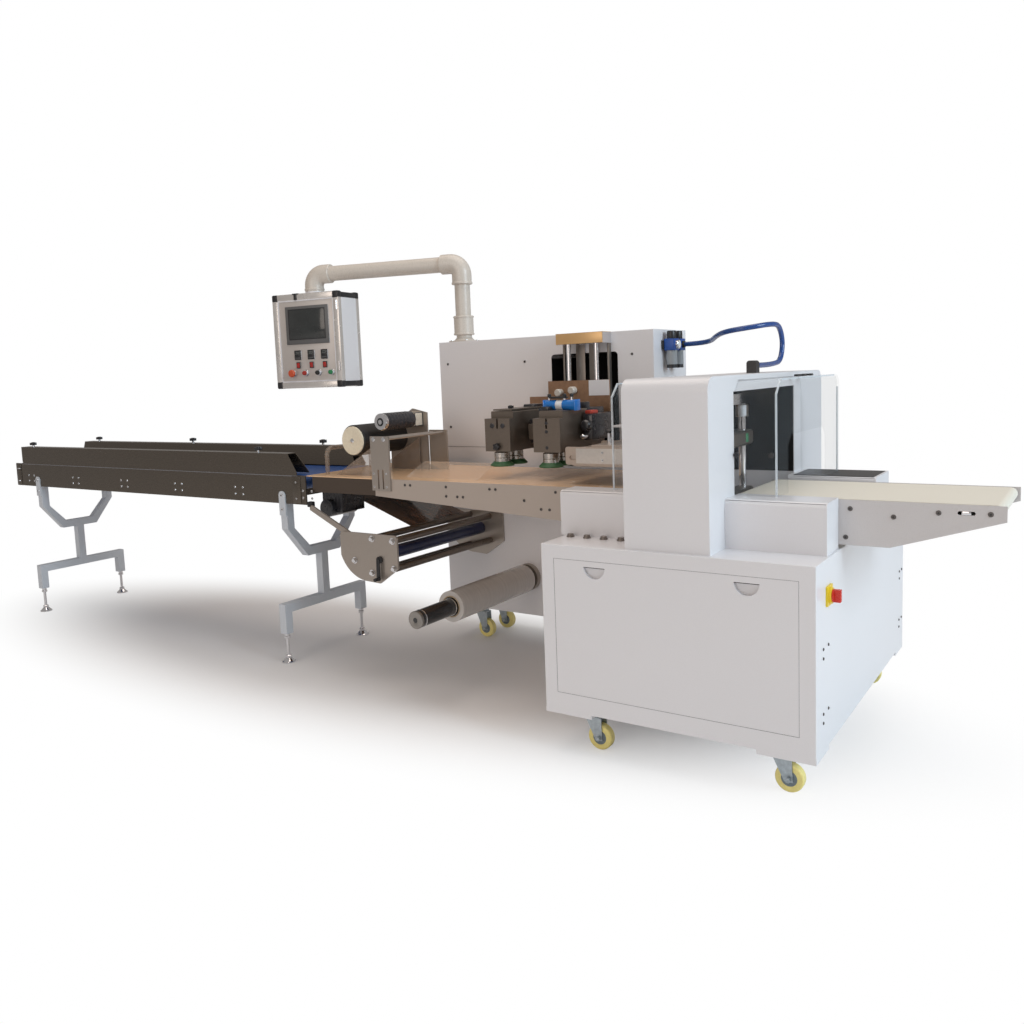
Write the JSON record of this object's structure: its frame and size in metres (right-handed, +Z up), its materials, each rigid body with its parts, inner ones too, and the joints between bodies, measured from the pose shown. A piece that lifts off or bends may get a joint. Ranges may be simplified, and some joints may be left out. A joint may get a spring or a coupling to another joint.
{
  "type": "horizontal flow wrapper",
  "caption": "Horizontal flow wrapper: long infeed belt with guards, film unwinder, fin sealer, end sealer under a portal, outfeed belt, wheeled cabinets and a swinging operator box.",
  "frame": {"origin": "on the floor, at the middle of the machine's footprint", "axes": "+X runs with the product from the infeed to the outfeed, +Y away from the operator's side, +Z up"},
  "size_m": [5.648, 1.37, 2.042],
  "materials": {
    "white_paint": "gloss",
    "clear_plastic": "gloss",
    "yellow_plastic": "gloss",
    "red_plastic": "gloss",
    "dark_steel": "satin",
    "black_rubber": "satin",
    "cream_belt": "matt",
    "blue_belt": "matt",
    "stainless": "brushed",
    "bright_steel": "polished",
    "aluminium": "satin",
    "black_steel": "gloss",
    "film": "gloss",
    "blue_rubber": "satin",
    "steel": "satin",
    "cream_plastic": "satin",
    "black_plastic": "satin",
    "blue_hose": "gloss",
    "caster_steel": "satin",
    "yellow_wheel": "satin"
  },
  "bodies": {
    "machine": {"air_hose": "blue_hose", "air_unit": "black_plastic", "arm_base": "cream_plastic", "base_cabinet": "white_paint", "belt_rollers": "bright_steel", "clear_guards": "clear_plastic", "deck_buttons": "dark_steel", "deck_covers": "white_paint", "drive_motors": "black_steel", "feeder_rollers": "blue_rubber", "film_arch": "aluminium", "film_former": "clear_plastic", "film_web": "film", "front_panel": "white_paint", "gantry": "white_paint", "hose_gland": "black_plastic", "infeed_belt": "blue_belt", "infeed_frame": "stainless", "infeed_guard_rails": "stainless", "jaw_rails": "bright_steel", "levelling_feet": "bright_steel", "outfeed_belt": "cream_belt", "outfeed_frame": "white_paint", "press_unit": "aluminium", "slide_frame": "bright_steel", "stand_frames": "white_paint", "switch_plate": "yellow_plastic", "table_frame": "white_paint", "table_top": "stainless", "tower_body": "white_paint", "tower_cover": "white_paint", "unwinder_frame": "aluminium"},
    "operator_arm": {"arm_pipe": "cream_plastic"},
    "swivel_front_left": {"caster_fork_front_left": "caster_steel"},
    "swivel_front_right": {"caster_fork_front_right": "caster_steel"},
    "swivel_rear_left": {"caster_fork_rear_left": "caster_steel"},
    "swivel_rear_right": {"caster_fork_rear_right": "caster_steel"},
    "swivel_tower_front": {"caster_fork_tower_front": "caster_steel"},
    "swivel_tower_rear": {"caster_fork_tower_rear": "caster_steel"},
    "wheel_front_left": {"caster_wheel_front_left": "yellow_wheel"},
    "wheel_front_right": {"caster_wheel_front_right": "yellow_wheel"},
    "wheel_rear_left": {"caster_wheel_rear_left": "yellow_wheel"},
    "wheel_rear_right": {"caster_wheel_rear_right": "yellow_wheel"},
    "wheel_tower_front": {"caster_wheel_tower_front": "yellow_wheel"},
    "wheel_tower_rear": {"caster_wheel_tower_rear": "yellow_wheel"},
    "film_drum": {"film_drum": "black_rubber"},
    "film_shaft": {"film_roll": "film", "film_shaft": "black_steel"},
    "fin_wheel_1_front": {"fin_wheel_1_front": "steel"},
    "fin_wheel_1_rear": {"fin_wheel_1_rear": "steel"},
    "fin_wheel_2_front": {"fin_wheel_2_front": "steel"},
    "fin_wheel_2_rear": {"fin_wheel_2_rear": "steel"},
    "jaw_carriage": {"jaw_carriage": "bright_steel"},
    "lower_jaw": {"lower_jaw": "steel"},
    "operator_box": {"operator_box": "aluminium"},
    "seal_carriage": {"seal_carriage": "aluminium", "seal_heads": "aluminium"},
    "switch_knob": {"switch_knob": "red_plastic"},
    "upper_jaw": {"upper_jaw": "steel"}
  },
  "joints": [
    {"name": "main_switch_turn", "type": "hinge", "parent": "machine", "child": "switch_knob", "pos_m": [2.358, -0.545, 0.661], "axis": [1, 0, 0], "range_deg": [0, 90]},
    {"name": "film_shaft_spin", "type": "hinge", "parent": "machine", "child": "film_shaft", "pos_m": [0.654, 0, 0.377], "axis": [0, 1, 0], "continuous": true},
    {"name": "film_drum_spin", "type": "hinge", "parent": "machine", "child": "film_drum", "pos_m": [0.085, 0, 1.109], "axis": [0, 1, 0], "continuous": true},
    {"name": "seal_height", "type": "slide", "parent": "machine", "child": "seal_carriage", "axis": [0, 0, 1], "range_m": [-0.02, 0.06]},
    {"name": "jaw_travel", "type": "slide", "parent": "machine", "child": "jaw_carriage", "axis": [1, 0, 0], "range_m": [-0.05, 0.05]},
    {"name": "upper_jaw_stroke", "type": "slide", "parent": "jaw_carriage", "child": "upper_jaw", "axis": [0, 0, -1], "range_m": [0, 0.125]},
    {"name": "lower_jaw_stroke", "type": "slide", "parent": "jaw_carriage", "child": "lower_jaw", "axis": [0, 0, 1], "range_m": [0, 0.04]},
    {"name": "operator_arm_swing", "type": "hinge", "parent": "machine", "child": "operator_arm", "pos_m": [0.176, 0.5, 1.7], "axis": [0, 0, 1], "range_deg": [-90, 80]},
    {"name": "operator_box_turn", "type": "hinge", "parent": "operator_arm", "child": "operator_box", "pos_m": [-0.67568, 0.25578, 1.8], "axis": [0, 0, 1], "range_deg": [-90, 90]},
    {"name": "caster_swivel_front_left", "type": "hinge", "parent": "machine", "child": "swivel_front_left", "pos_m": [1.504, -0.579, 0.13], "axis": [0, 0, 1], "continuous": true},
    {"name": "caster_roll_front_left", "type": "hinge", "parent": "swivel_front_left", "child": "wheel_front_left", "pos_m": [1.534, -0.579, 0.048], "axis": [0, 1, 0], "continuous": true},
    {"name": "caster_swivel_front_right", "type": "hinge", "parent": "machine", "child": "swivel_front_right", "pos_m": [2.202, -0.579, 0.13], "axis": [0, 0, 1], "continuous": true},
    {"name": "caster_roll_front_right", "type": "hinge", "parent": "swivel_front_right", "child": "wheel_front_right", "pos_m": [2.232, -0.579, 0.048], "axis": [0, 1, 0], "continuous": true},
    {"name": "caster_swivel_rear_left", "type": "hinge", "parent": "machine", "child": "swivel_rear_left", "pos_m": [1.504, 0.579, 0.13], "axis": [0, 0, 1], "continuous": true},
    {"name": "caster_roll_rear_left", "type": "hinge", "parent": "swivel_rear_left", "child": "wheel_rear_left", "pos_m": [1.534, 0.579, 0.048], "axis": [0, 1, 0], "continuous": true},
    {"name": "caster_swivel_rear_right", "type": "hinge", "parent": "machine", "child": "swivel_rear_right", "pos_m": [2.202, 0.579, 0.13], "axis": [0, 0, 1], "continuous": true},
    {"name": "caster_roll_rear_right", "type": "hinge", "parent": "swivel_rear_right", "child": "wheel_rear_right", "pos_m": [2.232, 0.579, 0.048], "axis": [0, 1, 0], "continuous": true},
    {"name": "caster_swivel_tower_front", "type": "hinge", "parent": "machine", "child": "swivel_tower_front", "pos_m": [0.287, 0.408, 0.13], "axis": [0, 0, 1], "continuous": true},
    {"name": "caster_roll_tower_front", "type": "hinge", "parent": "swivel_tower_front", "child": "wheel_tower_front", "pos_m": [0.317, 0.408, 0.048], "axis": [0, 1, 0], "continuous": true},
    {"name": "caster_swivel_tower_rear", "type": "hinge", "parent": "machine", "child": "swivel_tower_rear", "pos_m": [0.287, 0.595, 0.13], "axis": [0, 0, 1], "continuous": true},
    {"name": "caster_roll_tower_rear", "type": "hinge", "parent": "swivel_tower_rear", "child": "wheel_tower_rear", "pos_m": [0.317, 0.595, 0.048], "axis": [0, 1, 0], "continuous": true},
    {"name": "fin_wheel_1_front_spin", "type": "hinge", "parent": "seal_carriage", "child": "fin_wheel_1_front", "pos_m": [0.874, -0.199, 1], "axis": [0, 0, 1], "continuous": true},
    {"name": "fin_wheel_1_rear_spin", "type": "hinge", "parent": "seal_carriage", "child": "fin_wheel_1_rear", "pos_m": [0.874, -0.093, 1], "axis": [0, 0, 1], "continuous": true},
    {"name": "fin_wheel_2_front_spin", "type": "hinge", "parent": "seal_carriage", "child": "fin_wheel_2_front", "pos_m": [1.122, -0.199, 1], "axis": [0, 0, 1], "continuous": true},
    {"name": "fin_wheel_2_rear_spin", "type": "hinge", "parent": "seal_carriage", "child": "fin_wheel_2_rear", "pos_m": [1.122, -0.093, 1], "axis": [0, 0, 1], "continuous": true}
  ],
  "couplings": [
    {"joint": "lower_jaw_stroke", "follows": "upper_jaw_stroke", "ratio": 0.32},
    {"joint": "fin_wheel_1_rear_spin", "follows": "fin_wheel_1_front_spin", "ratio": -1},
    {"joint": "fin_wheel_2_front_spin", "follows": "fin_wheel_1_front_spin", "ratio": 1},
    {"joint": "fin_wheel_2_rear_spin", "follows": "fin_wheel_1_front_spin", "ratio": -1}
  ]
}
